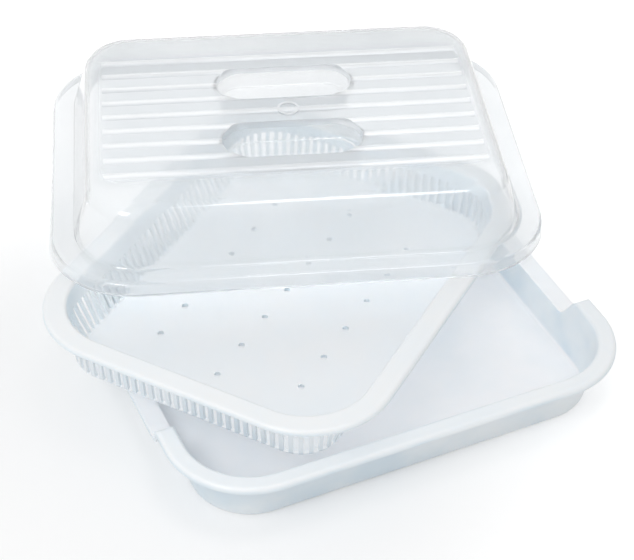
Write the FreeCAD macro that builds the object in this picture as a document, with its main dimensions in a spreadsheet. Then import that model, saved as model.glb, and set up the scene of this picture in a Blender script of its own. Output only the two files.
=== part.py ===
import FreeCAD, Part
import math
import os
import re
import Sketcher

# Instrument disinfection tub: a soaking tub, the slotted basket that stands on it and its clear lid.
# The frame's origin is the centre of the tub's underside, X runs along the tub's long side and Z is up.
# The basket lies across the tub's rim and the lid lies on the basket's rim. Put straight, the same
# pieces nest: the basket hangs in the tub by its rim, and the lid's skirt goes over the tub's rim.

# Driving dimensions in millimetres and degrees
sizes = {
    # Tub
    "tub_length": 330,
    "tub_width": 270,
    "tub_corner": 59,
    "tub_height": 44,
    "tub_rim_width": 13,
    "tub_rim_plate": 2.6,
    "tub_lip_depth": 4,
    "tub_lip_wall": 2.4,
    "tub_rim_round": 3.4,
    "tub_mouth_round": 3,
    "tub_wall": 2.5,
    "tub_floor": 2.5,
    "tub_draft": 7,
    "tub_bottom_round": 5,
    # Dropped rim on the tub's short sides
    "scoop_half_floor": 43,
    "scoop_half_top": 61,
    "scoop_depth": 18,
    "scoop_hollow": 8,
    "scoop_brow": 6,
    "scoop_band": 3,
    "scoop_setback": 2,
    # Sieve basket
    "rim_overlap": 4.5,
    "basket_corner": 60,
    "basket_height": 38.5,
    "basket_rim_width": 15.5,
    "basket_rim_plate": 2.4,
    "basket_lip_depth": 3.6,
    "basket_lip_wall": 2,
    "basket_rim_round": 3,
    "basket_mouth_corner": 46,
    "basket_mouth_round": 2.4,
    "basket_foot_corner": 27,
    "basket_wall": 2.2,
    "basket_floor": 2.4,
    "basket_end_draft": 3,
    "basket_side_draft": 15,
    "basket_bottom_round": 4.5,
    # Slots and drain holes of the basket
    "slot_width": 3.7,
    "slot_pitch": 6.6,
    "slot_foot": 2.8,
    "slot_head": 12,
    "drain_hole": 4.4,
    "drain_pitch": 32.8,
    "drain_row_gap": 55,
    "drain_outer_count": 6,
    # Lid
    "skirt_end_overhang": 10.2,
    "skirt_side_overhang": 5.2,
    "skirt_corner": 62,
    "skirt_depth": 9,
    "skirt_flare": 2,
    "skirt_round": 4,
    "lid_wall": 2.2,
    "shoulder_width": 15.4,
    "shoulder_round": 4,
    "dome_height": 40.4,
    "dome_draft": 13.6,
    "dome_round": 12,
    # Ribs, finger pockets and gate mark of the lid
    "rib_length": 268,
    "rib_width": 7,
    "rib_height": 1.4,
    "rib_pitch": 17.5,
    "rib_count": 9,
    "pocket_length": 101,
    "pocket_width": 42,
    "pocket_corner": 20.5,
    "pocket_depth": 14,
    "pocket_draft": 4,
    "pocket_floor_round": 2.5,
    "grip_bar_width": 29,
    "gate_mark": 16,
    "gate_mark_ring": 1.6,
    # How the pieces lie on one another
    "seat_gap": 0.3,
    "basket_x": -31.3,
    "basket_y": 33.3,
    "basket_turn": 37.9,
    "lid_x": 9.6,
    "lid_y": 125.8,
    "lid_turn": -18.2,
}

document = FreeCAD.newDocument("disinfection_tub")
sheet = document.addObject("Spreadsheet::Sheet", "Sizes")
for row, (alias, size) in enumerate(sizes.items(), start=1):
    sheet.set(f"A{row}", alias)
    sheet.set(f"B{row}", str(size))
    sheet.setAlias(f"B{row}", alias)
document.recompute()


def spelled(expression):
    """Returns an expression in which the sheet's aliases carry the sheet's name."""
    return re.sub(r"[a-z_]+", lambda word: f"Sizes.{word[0]}" if word[0] in sizes else word[0], expression)


def number(expression):
    """Returns an expression's value as a plain number."""
    value = sheet.evalExpression(spelled(expression))
    return float(getattr(value, "Value", value))


def bind(thing, path, expression):
    thing.setExpression(path, spelled(expression))


def new_body(label):
    body = document.addObject("PartDesign::Body", label)
    body.Label = label
    return body


def new_sketch(body, role, name, lift="0", along="0", across="0", turn="0"):
    """Adds a sketch on one of the body's own planes, lifted, shifted and turned in that plane."""
    sketch = body.newObject("Sketcher::SketchObject", name)
    plane = next(item for item in body.Origin.OriginFeatures if item.Role == role)
    sketch.AttachmentSupport = [(plane, "")]
    sketch.MapMode = "FlatFace"
    bind(sketch, "AttachmentOffset.Base.x", along)
    bind(sketch, "AttachmentOffset.Base.y", across)
    bind(sketch, "AttachmentOffset.Base.z", lift)
    bind(sketch, "AttachmentOffset.Rotation.Angle", turn)
    return sketch


def dimension(sketch, constraint, name, expression):
    """Adds a driving dimension and binds it to its expression."""
    index = sketch.addConstraint(constraint)
    sketch.renameConstraint(index, name)
    bind(sketch, f"Constraints.{name}", expression)


def join_ends(sketch, lines, kind):
    """Joins each element's end to the next one's start, round the closed outline."""
    for place, line in enumerate(lines):
        following = lines[(place + 1) % len(lines)]
        sketch.addConstraint(Sketcher.Constraint(kind, line, 2, following, 1))


def rounded_rectangle(sketch, length, width, corner):
    """Draws a rectangle with round corners, centred on the sketch's origin."""
    half_length = number(length) / 2
    half_width = number(width) / 2
    radius = number(corner)
    inner_x = half_length - radius
    inner_y = half_width - radius
    up = FreeCAD.Vector(0, 0, 1)
    outline = []
    sides = [
        ((-inner_x, -half_width), (inner_x, -half_width)),
        ((half_length, -inner_y), (half_length, inner_y)),
        ((inner_x, half_width), (-inner_x, half_width)),
        ((-half_length, inner_y), (-half_length, -inner_y)),
    ]
    centres = [(inner_x, -inner_y), (inner_x, inner_y), (-inner_x, inner_y), (-inner_x, -inner_y)]
    for quarter in range(4):
        start, end = sides[quarter]
        side = Part.LineSegment(FreeCAD.Vector(*start, 0), FreeCAD.Vector(*end, 0))
        circle = Part.Circle(FreeCAD.Vector(*centres[quarter], 0), up, radius)
        start_angle = math.pi / 2 * (quarter - 1)
        outline.append(sketch.addGeometry(side))
        outline.append(sketch.addGeometry(Part.ArcOfCircle(circle, start_angle, start_angle + math.pi / 2)))
    join_ends(sketch, outline, "Tangent")
    bottom, corner_a, right, corner_b, top, corner_c, left, corner_d = outline
    for line in (bottom, top):
        sketch.addConstraint(Sketcher.Constraint("Horizontal", line))
    for line in (right, left):
        sketch.addConstraint(Sketcher.Constraint("Vertical", line))
    for arc in (corner_b, corner_c, corner_d):
        sketch.addConstraint(Sketcher.Constraint("Equal", corner_a, arc))
    sketch.addConstraint(Sketcher.Constraint("Symmetric", corner_a, 3, corner_c, 3, -1, 1))
    dimension(sketch, Sketcher.Constraint("Radius", corner_a, radius), "corner", corner)
    across = Sketcher.Constraint("DistanceX", left, 1, right, 1, 2 * half_length)
    dimension(sketch, across, "long_side", length)
    along = Sketcher.Constraint("DistanceY", bottom, 1, top, 1, 2 * half_width)
    dimension(sketch, along, "short_side", width)


def rectangle(sketch, low_x, high_x, low_y, high_y):
    """Draws a rectangle between two places in X and two in Y."""
    left, right, low, high = (number(place) for place in (low_x, high_x, low_y, high_y))
    corners = [(left, low), (right, low), (right, high), (left, high)]
    outline = []
    for place in range(4):
        start = FreeCAD.Vector(*corners[place], 0)
        end = FreeCAD.Vector(*corners[(place + 1) % 4], 0)
        outline.append(sketch.addGeometry(Part.LineSegment(start, end)))
    join_ends(sketch, outline, "Coincident")
    for line in outline[0::2]:
        sketch.addConstraint(Sketcher.Constraint("Horizontal", line))
    for line in outline[1::2]:
        sketch.addConstraint(Sketcher.Constraint("Vertical", line))
    near = outline[0]
    far = outline[2]
    dimension(sketch, Sketcher.Constraint("DistanceX", -1, 1, near, 1, left), "low_x", low_x)
    dimension(sketch, Sketcher.Constraint("DistanceX", -1, 1, near, 2, right), "high_x", high_x)
    dimension(sketch, Sketcher.Constraint("DistanceY", -1, 1, near, 1, low), "low_y", low_y)
    dimension(sketch, Sketcher.Constraint("DistanceY", -1, 1, far, 1, high), "high_y", high_y)


def arch(sketch, width, height, across, base):
    """Draws a low arch that stands on a base line."""
    half = number(width) / 2
    rise = number(height)
    middle = number(across)
    low = number(base)
    radius = (half**2 + rise**2) / (2 * rise)
    spread = math.asin(half / radius)
    foot = Part.LineSegment(FreeCAD.Vector(middle - half, low, 0), FreeCAD.Vector(middle + half, low, 0))
    round_part = Part.Circle(FreeCAD.Vector(middle, low + rise - radius, 0), FreeCAD.Vector(0, 0, 1), radius)
    bottom = sketch.addGeometry(foot)
    crown = sketch.addGeometry(Part.ArcOfCircle(round_part, math.pi / 2 - spread, math.pi / 2 + spread))
    sketch.addConstraint(Sketcher.Constraint("Coincident", bottom, 2, crown, 1))
    sketch.addConstraint(Sketcher.Constraint("Coincident", bottom, 1, crown, 2))
    sketch.addConstraint(Sketcher.Constraint("Horizontal", bottom))
    left = Sketcher.Constraint("DistanceX", -1, 1, bottom, 1, middle - half)
    dimension(sketch, left, "left_foot", f"( {across} ) - ( {width} ) / 2")
    right = Sketcher.Constraint("DistanceX", -1, 1, bottom, 2, middle + half)
    dimension(sketch, right, "right_foot", f"( {across} ) + ( {width} ) / 2")
    level_of_foot = Sketcher.Constraint("DistanceY", -1, 1, bottom, 1, low)
    dimension(sketch, level_of_foot, "foot_level", base)
    crown_radius = f"( ( {width} ) ^ 2 / 4 + ( {height} ) ^ 2 ) / ( 2 * ( {height} ) )"
    dimension(sketch, Sketcher.Constraint("Radius", crown, radius), "crown", crown_radius)


def circle(sketch, diameter, tag=""):
    """Draws a circle on the sketch's origin."""
    radius = number(diameter) / 2
    up = FreeCAD.Vector(0, 0, 1)
    ring = sketch.addGeometry(Part.Circle(FreeCAD.Vector(0, 0, 0), up, radius))
    sketch.addConstraint(Sketcher.Constraint("Coincident", ring, 3, -1, 1))
    dimension(sketch, Sketcher.Constraint("Radius", ring, radius), f"ring{tag}", f"( {diameter} ) / 2")


def scoop_outline(sketch, half_floor, half_top, hollow, brow, floor_level, rim_level, top_level):
    """Draws a dip: a flat floor, an S-shaped rise to the rim's level on both sides, and open above."""
    floor_half, top_half, hollow_radius, brow_radius, low, rim, high = (
        number(size) for size in (half_floor, half_top, hollow, brow, floor_level, rim_level, top_level)
    )
    # The rise is the straight line that touches the hollow's circle and the brow's circle
    centre_run = top_half - floor_half
    centre_rise = rim - low - hollow_radius - brow_radius
    centre_gap = math.hypot(centre_run, centre_rise)
    slope = math.atan2(centre_rise, centre_run) + math.asin((hollow_radius + brow_radius) / centre_gap)
    quarter = math.pi / 2
    up = FreeCAD.Vector(0, 0, 1)

    def line(start, end):
        return sketch.addGeometry(Part.LineSegment(FreeCAD.Vector(*start, 0), FreeCAD.Vector(*end, 0)))

    def arc(centre, radius, start_angle, end_angle):
        round_part = Part.Circle(FreeCAD.Vector(*centre, 0), up, radius)
        return sketch.addGeometry(Part.ArcOfCircle(round_part, start_angle, end_angle))

    def on_circle(centre, radius, direction):
        return centre[0] + radius * math.cos(direction), centre[1] + radius * math.sin(direction)

    floor = line((-floor_half, low), (floor_half, low))
    dimension(sketch, Sketcher.Constraint("DistanceX", -1, 1, floor, 2, floor_half), "half_floor", half_floor)
    dimension(sketch, Sketcher.Constraint("DistanceY", -1, 1, floor, 2, low), "floor_level", floor_level)
    sketch.addConstraint(Sketcher.Constraint("Symmetric", floor, 1, floor, 2, -2))
    uprights = []
    for side, floor_end in ((1, 2), (-1, 1)):
        hollow_centre = (side * floor_half, low + hollow_radius)
        brow_centre = (side * top_half, rim - brow_radius)
        right = side > 0
        hollow_turn = (-quarter, slope - quarter) if right else (-quarter - slope, -quarter)
        brow_turn = (quarter, quarter + slope) if right else (quarter - slope, quarter)
        hollow_arc = arc(hollow_centre, hollow_radius, *hollow_turn)
        brow_arc = arc(brow_centre, brow_radius, *brow_turn)
        hollow_end = on_circle(hollow_centre, hollow_radius, hollow_turn[1 if right else 0])
        brow_start = on_circle(brow_centre, brow_radius, brow_turn[1 if right else 0])
        rise = line(hollow_end, brow_start)
        upright = line((side * top_half, rim), (side * top_half, high))
        near, far = (1, 2) if right else (2, 1)
        sketch.addConstraint(Sketcher.Constraint("Tangent", floor, floor_end, hollow_arc, near))
        sketch.addConstraint(Sketcher.Constraint("Tangent", hollow_arc, far, rise, 1))
        sketch.addConstraint(Sketcher.Constraint("Tangent", rise, 2, brow_arc, far))
        sketch.addConstraint(Sketcher.Constraint("Coincident", brow_arc, near, upright, 1))
        sketch.addConstraint(Sketcher.Constraint("Vertical", upright))
        sketch.addConstraint(Sketcher.Constraint("Vertical", brow_arc, 3, upright, 1))
        word = "right" if right else "left"
        radius = Sketcher.Constraint("Radius", hollow_arc, hollow_radius)
        dimension(sketch, radius, f"{word}_hollow", hollow)
        radius = Sketcher.Constraint("Radius", brow_arc, brow_radius)
        dimension(sketch, radius, f"{word}_brow", brow)
        rim_height = Sketcher.Constraint("DistanceY", -1, 1, upright, 1, rim)
        dimension(sketch, rim_height, f"{word}_rim_level", rim_level)
        reach = Sketcher.Constraint("DistanceX", -1, 1, upright, 1, side * top_half)
        dimension(sketch, reach, f"{word}_reach", half_top if right else f"-( {half_top} )")
        uprights.append(upright)
    top = line((top_half, high), (-top_half, high))
    sketch.addConstraint(Sketcher.Constraint("Coincident", uprights[0], 2, top, 1))
    sketch.addConstraint(Sketcher.Constraint("Coincident", uprights[1], 2, top, 2))
    sketch.addConstraint(Sketcher.Constraint("Horizontal", top))
    top_height = Sketcher.Constraint("DistanceY", -1, 1, top, 1, high)
    dimension(sketch, top_height, "top_level", top_level)


def extrude(body, kind, sketch, name, length, taper="0", reverse=False, both_ways=False):
    """Adds a pad or a pocket and checks that it changed the body as it should."""
    document.recompute()
    before = body.Shape.Volume if body.Tip else 0
    feature = body.newObject(f"PartDesign::{kind}", name)
    feature.Profile = sketch
    bind(feature, "Length", length)
    bind(feature, "TaperAngle", taper)
    feature.Reversed = reverse
    if both_ways:
        feature.SideType = "Symmetric"
    document.recompute()
    grown = body.Shape.Volume - before
    if (grown <= 0) if kind == "Pad" else (grown >= 0):
        raise RuntimeError(f"{name} leaves {body.Label} as it was")
    return feature


def loft(body, kind, name, *sketches):
    """Adds or cuts the straight-walled shape that runs from one sketch to the next."""
    feature = body.newObject(f"PartDesign::{kind}", name)
    feature.Profile = sketches[0]
    feature.Sections = list(sketches[1:])
    feature.Ruled = True
    document.recompute()
    return feature


def round_edges(body, name, radius, chosen):
    """Rounds those edges of the body's shape that the test picks."""
    document.recompute()
    base = body.Tip
    names = []
    for place, edge in enumerate(base.Shape.Edges, start=1):
        if chosen(edge.BoundBox):
            names.append(f"Edge{place}")
    if not names:
        raise RuntimeError(f"{name} finds no edge on {body.Label}")
    fillet = body.newObject("PartDesign::Fillet", name)
    fillet.Base = (base, names)
    bind(fillet, "Radius", radius)
    document.recompute()
    return fillet


def level(height, reach_x=None, reach_y=None):
    """Makes a test for edges that lie flat at a height, and no wider than a reach."""
    flat_height = number(height)
    widest_x = number(reach_x) if reach_x else math.inf
    widest_y = number(reach_y) if reach_y else math.inf

    def chosen(box):
        flat = abs(box.ZMin - flat_height) < 0.01 and abs(box.ZMax - flat_height) < 0.01
        near_x = max(abs(box.XMin), abs(box.XMax)) < widest_x
        near_y = max(abs(box.YMin), abs(box.YMax)) < widest_y
        return flat and near_x and near_y

    return chosen


def repeat_in_line(body, feature, axis_role, span, count):
    """Repeats a feature in a straight row along one of the body's axes."""
    pattern = body.newObject("PartDesign::LinearPattern", f"{feature.Name}_row")
    axis = next(item for item in body.Origin.OriginFeatures if item.Role == axis_role)
    pattern.Originals = [feature]
    pattern.Direction = (axis, [""])
    bind(pattern, "Length", span)
    bind(pattern, "Occurrences", count)
    body.Tip = pattern
    document.recompute()


def angle(rise, run):
    return f"atan( ( {rise} ) / ( {run} ) )"


def make_tub():
    body = new_body("tub")
    mouth_length = "( tub_length - 2 * tub_rim_width )"
    mouth_width = "( tub_width - 2 * tub_rim_width )"
    mouth_corner = "( tub_corner - tub_rim_width )"
    foot_length = f"( {mouth_length} + 2 * tub_wall - 2 * tub_draft )"
    foot_width = f"( {mouth_width} + 2 * tub_wall - 2 * tub_draft )"
    foot_corner = f"( {mouth_corner} + tub_wall - tub_draft )"
    lip_foot = "( tub_height - tub_lip_depth )"

    rim = new_sketch(body, "XY_Plane", "tub_rim_outline", lip_foot)
    rounded_rectangle(rim, "tub_length", "tub_width", "tub_corner")
    extrude(body, "Pad", rim, "tub_rim", "tub_lip_depth")
    under = new_sketch(body, "XY_Plane", "tub_under_rim_outline", lip_foot)
    rounded_rectangle(
        under,
        "tub_length - 2 * tub_lip_wall",
        "tub_width - 2 * tub_lip_wall",
        "tub_corner - tub_lip_wall",
    )
    extrude(body, "Pocket", under, "tub_under_rim", "tub_lip_depth - tub_rim_plate", reverse=True)
    round_edges(body, "tub_rim_round_edge", "tub_rim_round", level("tub_height"))

    foot = new_sketch(body, "XY_Plane", "tub_foot_outline")
    rounded_rectangle(foot, foot_length, foot_width, foot_corner)
    wall_height = "( tub_height - tub_rim_plate / 2 )"
    extrude(body, "Pad", foot, "tub_walls", wall_height, angle("tub_draft", "tub_height"))
    round_edges(body, "tub_foot_round_edge", "tub_bottom_round", level("0"))

    band = new_sketch(body, "YZ_Plane", "scoop_band_outline")
    scoop_outline(
        band,
        "scoop_half_floor",
        "scoop_half_top",
        "scoop_hollow + scoop_band",
        "scoop_brow - scoop_band",
        "tub_height - scoop_depth - scoop_band",
        "tub_height - scoop_band",
        "tub_height - tub_rim_plate / 2",
    )
    extrude(body, "Pad", band, "scoop_bands", "tub_length - 2 * scoop_setback", both_ways=True)

    mouth = new_sketch(body, "XY_Plane", "tub_mouth_outline", "tub_height")
    rounded_rectangle(mouth, mouth_length, mouth_width, mouth_corner)
    cavity_depth = "( tub_height - tub_floor )"
    extrude(body, "Pocket", mouth, "tub_cavity", cavity_depth, f"-{angle('tub_draft', 'tub_height')}")
    round_edges(body, "tub_floor_round_edge", "tub_bottom_round - tub_wall", level("tub_floor"))
    inside = level("tub_height", f"{mouth_length} / 2 + 0.1", f"{mouth_width} / 2 + 0.1")
    round_edges(body, "tub_mouth_round_edge", "tub_mouth_round", inside)

    dip = new_sketch(body, "YZ_Plane", "scoop_outline")
    scoop_outline(
        dip,
        "scoop_half_floor",
        "scoop_half_top",
        "scoop_hollow",
        "scoop_brow",
        "tub_height - scoop_depth",
        "tub_height",
        "tub_height + tub_rim_plate",
    )
    extrude(body, "Pocket", dip, "scoops", "tub_length + tub_rim_width", both_ways=True)
    return body


def make_basket():
    body = new_body("sieve_basket")
    # The rim lies on the tub's rim when the basket hangs in the tub
    length = "( tub_length - 2 * tub_rim_width + 2 * rim_overlap )"
    width = "( tub_width - 2 * tub_rim_width + 2 * rim_overlap )"
    mouth_length = f"( {length} - 2 * basket_rim_width )"
    mouth_width = f"( {width} - 2 * basket_rim_width )"
    foot_length = f"( {mouth_length} + 2 * basket_wall - 2 * basket_end_draft )"
    foot_width = f"( {mouth_width} + 2 * basket_wall - 2 * basket_side_draft )"
    lip_foot = "( basket_height - basket_lip_depth )"

    rim = new_sketch(body, "XY_Plane", "basket_rim_outline", lip_foot)
    rounded_rectangle(rim, length, width, "basket_corner")
    extrude(body, "Pad", rim, "basket_rim", "basket_lip_depth")
    under = new_sketch(body, "XY_Plane", "basket_under_rim_outline", lip_foot)
    rounded_rectangle(
        under,
        f"{length} - 2 * basket_lip_wall",
        f"{width} - 2 * basket_lip_wall",
        "basket_corner - basket_lip_wall",
    )
    under_depth = "basket_lip_depth - basket_rim_plate"
    extrude(body, "Pocket", under, "basket_under_rim", under_depth, reverse=True)
    round_edges(body, "basket_rim_round_edge", "basket_rim_round", level("basket_height"))

    # The walls lean in towards the foot, the long ones most
    foot = new_sketch(body, "XY_Plane", "basket_foot_outline")
    rounded_rectangle(foot, foot_length, foot_width, "basket_foot_corner")
    head = new_sketch(body, "XY_Plane", "basket_head_outline", "basket_height")
    rounded_rectangle(
        head,
        f"{mouth_length} + 2 * basket_wall",
        f"{mouth_width} + 2 * basket_wall",
        "basket_mouth_corner + basket_wall",
    )
    loft(body, "AdditiveLoft", "basket_walls", foot, head)
    round_edges(body, "basket_foot_round_edge", "basket_bottom_round", level("0"))

    mouth = new_sketch(body, "XY_Plane", "basket_mouth_outline", "basket_height")
    rounded_rectangle(mouth, mouth_length, mouth_width, "basket_mouth_corner")
    rise = "( basket_floor / basket_height )"
    inner_corner = f"basket_foot_corner + ( basket_mouth_corner + basket_wall - basket_foot_corner ) * {rise}"
    floor = new_sketch(body, "XY_Plane", "basket_floor_outline", "basket_floor")
    rounded_rectangle(
        floor,
        f"{foot_length} + 2 * basket_end_draft * {rise} - 2 * basket_wall",
        f"{foot_width} + 2 * basket_side_draft * {rise} - 2 * basket_wall",
        f"{inner_corner} - basket_wall",
    )
    loft(body, "SubtractiveLoft", "basket_cavity", floor, mouth)
    round_edges(body, "basket_floor_round_edge", "basket_bottom_round - basket_wall", level("basket_floor"))
    inside = level("basket_height", f"{mouth_length} / 2 + 0.1", f"{mouth_width} / 2 + 0.1")
    round_edges(body, "basket_mouth_round_edge", "basket_mouth_round", inside)

    # Slots: straight runs through both opposite walls at once, then a fan round each corner
    corner_x = f"( {mouth_length} / 2 - basket_mouth_corner )"
    corner_y = f"( {mouth_width} / 2 - basket_mouth_corner )"
    slot_top = "basket_height - slot_head"
    for side, plane, axis, half_run in (
        ("long", "XZ_Plane", "X_Axis", corner_x),
        ("short", "YZ_Plane", "Y_Axis", corner_y),
    ):
        count = f"round( 2 * {half_run} / slot_pitch )"
        step = f"( 2 * {half_run} / {count} )"
        first = f"( {half_run} - {step} / 2 )"
        slot = new_sketch(body, plane, f"{side}_side_slot_outline")
        rectangle(slot, f"-{first} - slot_width / 2", f"-{first} + slot_width / 2", "slot_foot", slot_top)
        cut = extrude(body, "Pocket", slot, f"{side}_side_slot", length, both_ways=True)
        repeat_in_line(body, cut, axis, f"{step} * ( {count} - 1 )", count)
    fan_count = "round( pi / 2 * basket_mouth_corner / slot_pitch )"
    fan_step = f"( 90 / {fan_count} )"
    for quarter, (side_x, side_y) in enumerate(((1, 1), (-1, 1), (-1, -1), (1, -1))):
        slot = new_sketch(
            body,
            "XY_Plane",
            f"corner_{quarter + 1}_slot_outline",
            "slot_foot",
            f"{side_x} * {corner_x}",
            f"{side_y} * {corner_y}",
            f"{90 * quarter} + {fan_step} / 2",
        )
        inner = "basket_mouth_corner - basket_side_draft - 4 * basket_wall"
        outer = "basket_mouth_corner + 4 * basket_wall"
        rectangle(slot, inner, outer, "-slot_width / 2", "slot_width / 2")
        slot_height = f"{slot_top} - slot_foot"
        cut = extrude(body, "Pocket", slot, f"corner_{quarter + 1}_slot", slot_height, reverse=True)
        fan = body.newObject("PartDesign::PolarPattern", f"corner_{quarter + 1}_slots")
        fan.Originals = [cut]
        fan.Axis = (slot, ["N_Axis"])
        bind(fan, "Angle", f"90 - {fan_step}")
        bind(fan, "Occurrences", fan_count)
        body.Tip = fan
        document.recompute()

    # Drain holes: two outer rows and a middle row that stands half a pitch aside
    for row, offset, more in (
        ("front", "-drain_row_gap", 0),
        ("middle", "0", 1),
        ("back", "drain_row_gap", 0),
    ):
        count = f"( drain_outer_count + {more} )"
        span = f"( drain_pitch * ( {count} - 1 ) )"
        hole = new_sketch(body, "XY_Plane", f"{row}_drain_outline", "basket_floor", f"-{span} / 2", offset)
        circle(hole, "drain_hole")
        cut = extrude(body, "Pocket", hole, f"{row}_drain_hole", "2 * basket_floor")
        repeat_in_line(body, cut, "X_Axis", span, count)
    return body


def make_lid():
    body = new_body("lid")
    length = "( tub_length + 2 * skirt_end_overhang )"
    width = "( tub_width + 2 * skirt_side_overhang )"
    shoulder_length = f"( {length} - 2 * skirt_flare )"
    dome_length = f"( {shoulder_length} - 2 * shoulder_width )"
    dome_width = f"( {width} - 2 * skirt_flare - 2 * shoulder_width )"
    dome_corner = "( skirt_corner - skirt_flare - shoulder_width )"
    top = "( skirt_depth + dome_height )"
    skirt_taper = angle("skirt_flare", "skirt_depth")
    dome_taper = angle("dome_draft", "dome_height")

    skirt = new_sketch(body, "XY_Plane", "skirt_outline")
    rounded_rectangle(skirt, length, width, "skirt_corner")
    extrude(body, "Pad", skirt, "skirt", "skirt_depth", f"-{skirt_taper}")
    round_edges(body, "skirt_round_edge", "skirt_round", level("skirt_depth"))
    dome = new_sketch(body, "XY_Plane", "dome_outline", "skirt_depth")
    rounded_rectangle(dome, dome_length, dome_width, dome_corner)
    extrude(body, "Pad", dome, "dome", "dome_height", f"-{dome_taper}")
    foot_of_dome = level("skirt_depth", f"{dome_length} / 2 + 0.1", f"{dome_width} / 2 + 0.1")
    round_edges(body, "shoulder_round_edge", "shoulder_round", foot_of_dome)

    # The hollow inside, one wall thinner than the outside
    skirt_hollow = new_sketch(body, "XY_Plane", "skirt_hollow_outline")
    rounded_rectangle(
        skirt_hollow,
        f"{length} - 2 * lid_wall",
        f"{width} - 2 * lid_wall",
        "skirt_corner - lid_wall",
    )
    hollow_depth = "skirt_depth - lid_wall"
    extrude(body, "Pocket", skirt_hollow, "skirt_hollow", hollow_depth, f"-{skirt_taper}", reverse=True)
    dome_hollow = new_sketch(body, "XY_Plane", "dome_hollow_outline", hollow_depth)
    rounded_rectangle(
        dome_hollow,
        f"{dome_length} - 2 * lid_wall",
        f"{dome_width} - 2 * lid_wall",
        f"{dome_corner} - lid_wall",
    )
    extrude(body, "Pocket", dome_hollow, "dome_hollow", "dome_height", f"-{dome_taper}", reverse=True)
    round_edges(body, "dome_hollow_round_edge", "dome_round - lid_wall", level(f"{top} - lid_wall"))
    round_edges(body, "dome_round_edge", "dome_round", level(top))

    # Ribs and gate mark stand on the top before the finger pockets cut through them
    rib_span = "( rib_pitch * ( rib_count - 1 ) )"
    rib = new_sketch(body, "YZ_Plane", "rib_outline")
    arch(rib, "rib_width", "rib_height", f"-{rib_span} / 2", top)
    first_rib = extrude(body, "Pad", rib, "rib", "rib_length", both_ways=True)
    repeat_in_line(body, first_rib, "Y_Axis", rib_span, "rib_count")
    mark = new_sketch(body, "XY_Plane", "gate_mark_outline", top)
    circle(mark, "gate_mark")
    circle(mark, "gate_mark - 2 * gate_mark_ring", "_inner")
    extrude(body, "Pad", mark, "gate_mark", "rib_height")

    pocket_taper = angle("pocket_draft", "pocket_depth")
    pocket_centre = "( grip_bar_width + pocket_width ) / 2"
    pocket_floor = f"( {top} - pocket_depth )"
    for side, offset in (("front", f"-{pocket_centre}"), ("back", pocket_centre)):
        cup = new_sketch(body, "XY_Plane", f"{side}_cup_outline", f"{top} - lid_wall / 2", "0", offset)
        rounded_rectangle(
            cup,
            "pocket_length + 2 * lid_wall",
            "pocket_width + 2 * lid_wall",
            "pocket_corner + lid_wall",
        )
        cup_depth = "pocket_depth + lid_wall / 2"
        extrude(body, "Pad", cup, f"{side}_cup", cup_depth, f"-{pocket_taper}", reverse=True)
    for side, offset in (("front", f"-{pocket_centre}"), ("back", pocket_centre)):
        pocket = new_sketch(body, "XY_Plane", f"{side}_pocket_outline", f"{top} + rib_height", "0", offset)
        rounded_rectangle(pocket, "pocket_length", "pocket_width", "pocket_corner")
        pocket_height = "pocket_depth + rib_height"
        extrude(body, "Pocket", pocket, f"{side}_pocket", pocket_height, f"-{pocket_taper}")
    round_edges(body, "pocket_floor_round_edge", "pocket_floor_round", level(pocket_floor))
    return body


def place(body, x, y, z, turn):
    """Puts a piece in its place on the others."""
    bind(body, "Placement.Base.x", x)
    bind(body, "Placement.Base.y", y)
    bind(body, "Placement.Base.z", z)
    bind(body, "Placement.Rotation.Angle", turn)


tub = make_tub()
basket = make_basket()
lid = make_lid()
basket_seat = "tub_height + seat_gap"
place(basket, "basket_x", "basket_y", basket_seat, "basket_turn")
place(lid, "lid_x", "lid_y", f"{basket_seat} + basket_height + seat_gap", "lid_turn")
document.recompute()

for item in document.Objects:
    if "Invalid" in item.State or "Error" in item.State:
        raise RuntimeError(f"{item.Label} failed")
pieces = [tub, basket, lid]
for piece in pieces:
    if piece.Shape.isNull() or not piece.Shape.isValid() or len(piece.Shape.Solids) != 1:
        raise RuntimeError(f"{piece.Label} isn't one valid solid")
os.makedirs("parts", exist_ok=True)
for piece in pieces:
    piece.Shape.exportStep(f"parts/{piece.Label}.step")
    box = piece.Shape.BoundBox
    spans = [round(span, 1) for span in (box.XLength, box.YLength, box.ZLength)]
    print(piece.Label, round(piece.Shape.Volume), spans)
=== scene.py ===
"""Instrument disinfection tub: the looks of the tub, the sieve basket and the clear lid."""

import math

import bpy
from mathutils import Matrix, Vector

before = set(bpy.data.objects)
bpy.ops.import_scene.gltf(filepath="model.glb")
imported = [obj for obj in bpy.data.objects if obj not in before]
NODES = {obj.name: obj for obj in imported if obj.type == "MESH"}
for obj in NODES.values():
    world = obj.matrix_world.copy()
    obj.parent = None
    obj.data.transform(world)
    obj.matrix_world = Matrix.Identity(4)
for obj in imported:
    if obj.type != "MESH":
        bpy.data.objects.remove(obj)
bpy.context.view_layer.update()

# Where the picture is taken from, in degrees and metres, and the lens and film in millimetres
VIEW_TURN = -25.162
VIEW_HEIGHT = 40.531
VIEW_LEAN = 1.108
VIEW_DISTANCE = 1.2075
VIEW_TARGET = Vector((0.0009, 0.0524, 0.030))
VIEW_LENS = 93.52
FILM_WIDTH = 36

# Heights of the tub's and the basket's rims, just under their tops, and the band below them in which the
# floor's tint turns to the rim's
TUB_RIM = 0.043
BASKET_RIM = 0.081
RIM_BAND = 0.01

# The lid: height of its flat top, height of a rib on it, and place and turn of its middle
LID_TOP = 0.1325
RIB_HEIGHT = 0.0014
LID_CENTRE = (0.0096, 0.1258)
LID_TURN = -18.2

# The part of the lid round its ribbed top that is painted greyer and less clear, a painted shade: half its
# size, the band in which it fades at its ends and sides, and how far below the top it starts and is full
FIELD_HALF_LENGTH = 0.155
FIELD_HALF_WIDTH = 0.094
FIELD_FADE = 0.035
FIELD_START = 0.005
FIELD_FULL = 0.003

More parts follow.
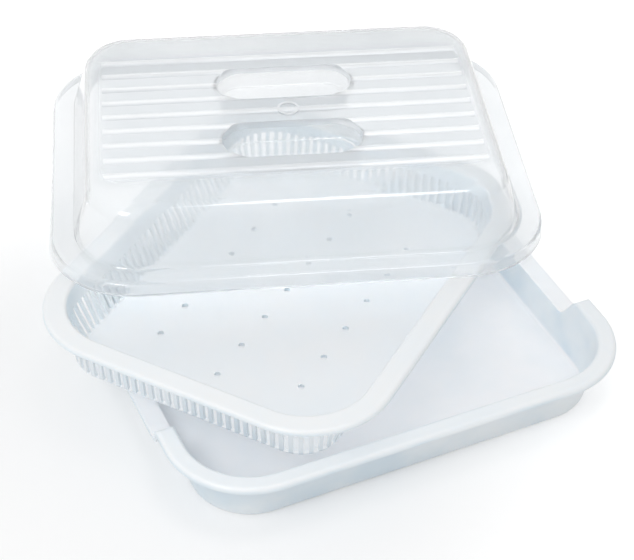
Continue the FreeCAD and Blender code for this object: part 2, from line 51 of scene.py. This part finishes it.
# The skin of the mouldings: lumps per metre and height in metres of its waves and of its grain
WAVE_SCALE = 28
WAVE_HEIGHT = 0.001
GRAIN_SCALE = 700
GRAIN_HEIGHT = 0.0001

# The floor: half its size, its shade of grey, the spot round which it glows least so that the shadow
# shows, the distances from that spot between which the glow grows, and the glow at each
FLOOR_HALF = 6.0
FLOOR_GREY = 0.8
SHADE_CENTRE = (-0.15, -0.03, 0.0)
GLOW_START = 0.15
GLOW_END = 0.45
GLOW_LOW = 0.14
GLOW_HIGH = 0.5

# The light: strength of the sky on the piece and as it is seen, and where the lamps face
WHITE = (1, 1, 1, 1)
SKY_LIGHT = 0.64
SKY_SEEN = 1.0
LAMP_AIM = Vector((0, 0.05, 0.05))
LAMP_SIZE = 0.5


def view_axes():
    """The directions to the picture's right, its top and the viewer."""
    turn = math.radians(VIEW_TURN)
    height = math.radians(VIEW_HEIGHT)
    lean = math.radians(VIEW_LEAN)
    back = Vector((math.sin(turn) * math.cos(height), -math.cos(turn) * math.cos(height), math.sin(height)))
    level = (-back).cross(Vector((0, 0, 1))).normalized()
    upright = level.cross(-back)
    right = level * math.cos(lean) + upright * math.sin(lean)
    top = upright * math.cos(lean) - level * math.sin(lean)
    return right, top, back


def place_camera():
    right, top, back = view_axes()
    camera = bpy.data.cameras.new("view")
    camera.sensor_width = FILM_WIDTH
    camera.lens = VIEW_LENS
    camera.clip_start = 0.05
    camera.clip_end = 20
    seat = bpy.data.objects.new("view", camera)
    turn = Matrix((right, top, back)).transposed().to_4x4()
    seat.matrix_world = Matrix.Translation(VIEW_TARGET + back * VIEW_DISTANCE) @ turn
    bpy.context.scene.collection.objects.link(seat)
    bpy.context.scene.camera = seat


def new_material(name):
    """A material that holds only a shader wired to its output."""
    material = bpy.data.materials.new(name)
    material.use_nodes = True
    tree = material.node_tree
    tree.nodes.clear()
    out = tree.nodes.new("ShaderNodeOutputMaterial")
    shader = tree.nodes.new("ShaderNodeBsdfPrincipled")
    tree.links.new(shader.outputs["BSDF"], out.inputs["Surface"])
    return material, tree, shader


def set_values(node, values):
    """Gives sockets, listed by name, their plain values."""
    for socket, value in values.items():
        node.inputs[socket].default_value = value


def own_place(tree):
    """Where a point lies on its piece, in metres, as the piece lies at rest."""
    return tree.nodes.new("ShaderNodeTexCoord").outputs["Object"]


def along_axis(tree, vector, axis):
    """How far a vector reaches along X, Y or Z."""
    parts = tree.nodes.new("ShaderNodeSeparateXYZ")
    tree.links.new(vector, parts.inputs["Vector"])
    return parts.outputs[axis]


def calculate(tree, operation, first, second):
    """Works out one sum from two sockets."""
    node = tree.nodes.new("ShaderNodeMath")
    node.operation = operation
    tree.links.new(first, node.inputs[0])
    tree.links.new(second, node.inputs[1])
    return node.outputs["Value"]


def object_noise(tree, scale, detail):
    """A noise fixed to the piece, scale in lumps per metre."""
    noise = tree.nodes.new("ShaderNodeTexNoise")
    set_values(noise, {"Scale": scale, "Detail": detail})
    tree.links.new(own_place(tree), noise.inputs["Vector"])
    return noise.outputs["Fac"]


def spread(tree, value, low, high, new_low=0.0, new_high=1.0):
    """Takes value from low..high to new_low..new_high, with soft ends."""
    node = tree.nodes.new("ShaderNodeMapRange")
    node.interpolation_type = "SMOOTHSTEP"
    set_values(node, {"From Min": low, "From Max": high, "To Min": new_low, "To Max": new_high})
    tree.links.new(value, node.inputs["Value"])
    return node.outputs["Result"]


def blend(tree, share, first, second):
    """Mixes two colours, each a value or a socket."""
    node = tree.nodes.new("ShaderNodeMix")
    node.data_type = "RGBA"
    tree.links.new(share, node.inputs["Factor"])
    for end, socket in ((first, node.inputs[6]), (second, node.inputs[7])):
        if isinstance(end, tuple):
            socket.default_value = (*end, 1)
        else:
            tree.links.new(end, socket)
    return node.outputs[2]


def upward(tree):
    """1 where the surface lies flat and looks up, 0 on a standing wall."""
    shape = tree.nodes.new("ShaderNodeNewGeometry")
    return spread(tree, along_axis(tree, shape.outputs["True Normal"], "Z"), 0.15, 0.85)


def above(tree, low, high):
    """0 below the height low, 1 above the height high."""
    return spread(tree, along_axis(tree, own_place(tree), "Z"), low, high)


def ripple(tree, shader, broad, fine):
    """The slightly uneven skin of a moulding: broad waves and a fine grain."""
    waves = tree.nodes.new("ShaderNodeBump")
    set_values(waves, {"Strength": broad, "Distance": WAVE_HEIGHT})
    tree.links.new(object_noise(tree, WAVE_SCALE, 1), waves.inputs["Height"])
    grain = tree.nodes.new("ShaderNodeBump")
    set_values(grain, {"Strength": fine, "Distance": GRAIN_HEIGHT})
    tree.links.new(object_noise(tree, GRAIN_SCALE, 2), grain.inputs["Height"])
    tree.links.new(waves.outputs["Normal"], grain.inputs["Normal"])
    tree.links.new(grain.outputs["Normal"], shader.inputs["Normal"])


def let_light_through(tree, shader, share, tint):
    """Passes a share of the lamps' and the sky's light on, so that the shadow behind is pale."""
    surface = shader.outputs["BSDF"].links[0].to_socket
    open_way = tree.nodes.new("ShaderNodeBsdfTransparent")
    set_values(open_way, {"Color": tint})
    passed = tree.nodes.new("ShaderNodeLightPath").outputs["Is Shadow Ray"]
    if share < 1:
        part = tree.nodes.new("ShaderNodeMath")
        part.operation = "MULTIPLY"
        part.inputs[1].default_value = share
        tree.links.new(passed, part.inputs[0])
        passed = part.outputs["Value"]
    mix = tree.nodes.new("ShaderNodeMixShader")
    tree.links.new(passed, mix.inputs["Fac"])
    tree.links.new(shader.outputs["BSDF"], mix.inputs[1])
    tree.links.new(open_way.outputs["BSDF"], mix.inputs[2])
    tree.links.new(mix.outputs["Shader"], surface)


def milky_plastic(name, wall_shade_and_cloud_tint, shaded_wall_cloud_tint, floor_tint_with_painted_light, rim_tint_with_painted_light, rim_height, light_share):
    """White see-a-little-through moulded plastic with a random cloudy tone. Its standing wall faces are
    painted darker and bluer than its flat faces, a painted shade, and its floor and rim tints carry painted
    light.
    """
    material, tree, shader = new_material(name)
    clouds = object_noise(tree, 20, 3)
    # Painted shade: the standing wall faces get a darker, bluer tint than the flat faces, clouded at
    # random.
    shaded_walls = blend(tree, spread(tree, clouds, 0.3, 0.7), wall_shade_and_cloud_tint, shaded_wall_cloud_tint)
    # Painted light: the floor under the rim takes a tint of its own, set apart from the rim's so that each
    # renders at a chosen brightness. In the tub the floor is painted paler than the rim, lifting its shade,
    # and the rim darker. The floor's lavender tone is its own colour.
    flats = blend(tree, above(tree, rim_height - RIM_BAND, rim_height), floor_tint_with_painted_light, rim_tint_with_painted_light)
    clouded_flats = blend(tree, spread(tree, clouds, 0.2, 0.8, 0.0, 0.3), flats, wall_shade_and_cloud_tint)
    tree.links.new(blend(tree, upward(tree), shaded_walls, clouded_flats), shader.inputs["Base Color"])
    dullness = spread(tree, object_noise(tree, 30, 2), 0.0, 1.0, 0.26, 0.42)
    tree.links.new(dullness, shader.inputs["Roughness"])
    set_values(shader, {
        "IOR": 1.49,
        "Subsurface Weight": 0.35,
        "Subsurface Radius": (0.004, 0.0045, 0.005),
        "Subsurface Scale": 1.0,
    })
    ripple(tree, shader, broad=0.05, fine=0.2)
    let_light_through(tree, shader, light_share, WHITE)
    return material


def ribbed_field(tree):
    """1 over the ribbed top of the lid, fading out past the rib ends and below the top: where the lid is
    painted greyer and less clear, a painted shade.
    """
    lid_plan = tree.nodes.new("ShaderNodeMapping")
    lid_plan.vector_type = "TEXTURE"
    set_values(lid_plan, {"Location": (*LID_CENTRE, 0), "Rotation": (0, 0, math.radians(LID_TURN))})
    tree.links.new(own_place(tree), lid_plan.inputs["Vector"])
    distances = tree.nodes.new("ShaderNodeVectorMath")
    distances.operation = "ABSOLUTE"
    tree.links.new(lid_plan.outputs["Vector"], distances.inputs[0])
    inside = above(tree, LID_TOP - FIELD_START, LID_TOP - FIELD_FULL)
    for axis, half in (("X", FIELD_HALF_LENGTH), ("Y", FIELD_HALF_WIDTH)):
        distance = along_axis(tree, distances.outputs["Vector"], axis)
        fade = spread(tree, distance, half - FIELD_FADE, half, 1.0, 0.0)
        inside = calculate(tree, "MULTIPLY", inside, fade)
    return inside


def clear_plastic(name):
    """Clear moulded plastic with a faint haze that varies at random. It is painted greyer and less clear
    round its ribbed top, a painted shade, and painted whiter on each rib, a painted highlight.
    """
    thick_haze = (0.80, 0.82, 0.835)
    thin_haze = (0.885, 0.895, 0.905)
    top_shade_grey = (0.76, 0.785, 0.805)
    rib_tint = (0.96, 0.97, 0.975)
    material, tree, shader = new_material(name)
    haze = blend(tree, spread(tree, object_noise(tree, 12, 2), 0.0, 1.0), thick_haze, thin_haze)
    # Painted shade: round the ribbed top the haze turns to a darker grey, and the lid lets less light
    # through there.
    shaded_top = ribbed_field(tree)
    haze_with_top_shade = blend(tree, shaded_top, haze, top_shade_grey)
    # Painted highlight: each rib is tinted whiter than the rest of the lid.
    rib_highlight = above(tree, LID_TOP, LID_TOP + RIB_HEIGHT)
    tree.links.new(blend(tree, rib_highlight, haze_with_top_shade, rib_tint), shader.inputs["Base Color"])
    dullness = spread(tree, object_noise(tree, 40, 2), 0.0, 1.0, 0.08, 0.14)
    tree.links.new(dullness, shader.inputs["Roughness"])
    clearness = spread(tree, shaded_top, 0.0, 1.0, 0.8, 0.64)
    tree.links.new(clearness, shader.inputs["Transmission Weight"])
    set_values(shader, {"IOR": 1.22, "Coat Weight": 1.0, "Coat Roughness": 0.12, "Coat IOR": 1.5})
    ripple(tree, shader, broad=0.15, fine=0.1)
    let_light_through(tree, shader, 1, (*rib_tint, 1))
    return material


def dress(node, material):
    for slot in NODES[node].material_slots:
        slot.material = material


def seen_ray(tree):
    """1 for rays that reach the eye straight, in a reflection or through the plastic."""
    path = tree.nodes.new("ShaderNodeLightPath").outputs
    straight_or_mirrored = calculate(tree, "MAXIMUM", path["Is Camera Ray"], path["Is Glossy Ray"])
    return calculate(tree, "MAXIMUM", straight_or_mirrored, path["Is Transmission Ray"])


def lay_floor():
    """A pale floor that keeps the shadow, and white all round."""
    mesh = bpy.data.meshes.new("floor")
    signs = ((-1, -1), (1, -1), (1, 1), (-1, 1))
    mesh.from_pydata([(FLOOR_HALF * x, FLOOR_HALF * y, 0) for x, y in signs], [], [(0, 1, 2, 3)])
    floor = bpy.data.objects.new("floor", mesh)
    bpy.context.scene.collection.objects.link(floor)
    material, tree, shader = new_material("pale_floor")
    set_values(shader, {
        "Base Color": (FLOOR_GREY, FLOOR_GREY, FLOOR_GREY, 1),
        "Roughness": 1.0,
        "Specular IOR Level": 0.0,
        "Emission Color": WHITE,
    })
    away = tree.nodes.new("ShaderNodeVectorMath")
    away.operation = "DISTANCE"
    away.inputs[1].default_value = SHADE_CENTRE
    tree.links.new(own_place(tree), away.inputs[0])
    glow = spread(tree, away.outputs["Value"], GLOW_START, GLOW_END, GLOW_LOW, GLOW_HIGH)
    seen_glow = calculate(tree, "MULTIPLY", seen_ray(tree), glow)
    tree.links.new(seen_glow, shader.inputs["Emission Strength"])
    mesh.materials.append(material)


def white_sky(tree, strength):
    sky = tree.nodes.new("ShaderNodeBackground")
    set_values(sky, {"Color": WHITE, "Strength": strength})
    return sky.outputs["Background"]


def light_world():
    """Soft light from all round, which is seen as plain white."""
    world = bpy.data.worlds.new("soft_daylight")
    bpy.context.scene.world = world
    world.use_nodes = True
    tree = world.node_tree
    tree.nodes.clear()
    out = tree.nodes.new("ShaderNodeOutputWorld")
    mix = tree.nodes.new("ShaderNodeMixShader")
    tree.links.new(seen_ray(tree), mix.inputs["Fac"])
    tree.links.new(white_sky(tree, SKY_LIGHT), mix.inputs[1])
    tree.links.new(white_sky(tree, SKY_SEEN), mix.inputs[2])
    tree.links.new(mix.outputs["Shader"], out.inputs["Surface"])


def hang_lamp(name, place, power):
    """A soft box at place, facing the pieces, its power in watts."""
    lamp = bpy.data.lights.new(name, "AREA")
    lamp.shape = "SQUARE"
    lamp.size = LAMP_SIZE
    lamp.energy = power
    seat = bpy.data.objects.new(name, lamp)
    bpy.context.scene.collection.objects.link(seat)
    facing = (LAMP_AIM - place).to_track_quat("-Z", "Y").to_matrix().to_4x4()
    seat.matrix_world = Matrix.Translation(place) @ facing


dress(
    "tub",
    milky_plastic(
        "milky_tub",
        wall_shade_and_cloud_tint=(0.70, 0.79, 0.86),
        shaded_wall_cloud_tint=(0.85, 0.895, 0.925),
        floor_tint_with_painted_light=(0.96, 0.955, 0.97),
        rim_tint_with_painted_light=(0.85, 0.87, 0.885),
        rim_height=TUB_RIM,
        light_share=0.7,
    ),
)
dress(
    "sieve_basket",
    milky_plastic(
        "milky_basket",
        wall_shade_and_cloud_tint=(0.74, 0.82, 0.88),
        shaded_wall_cloud_tint=(0.83, 0.88, 0.915),
        floor_tint_with_painted_light=(0.82, 0.835, 0.85),
        rim_tint_with_painted_light=(0.83, 0.845, 0.855),
        rim_height=BASKET_RIM,
        light_share=0.9,
    ),
)
dress("lid", clear_plastic("clear_lid"))

lay_floor()
light_world()
hang_lamp("left_soft_box", Vector((-1.0, -0.6, 1.45)), 10)
hang_lamp("top_soft_box", Vector((0.2, -0.1, 1.9)), 4.5)

bpy.context.scene.view_settings.view_transform = "Standard"
place_camera()
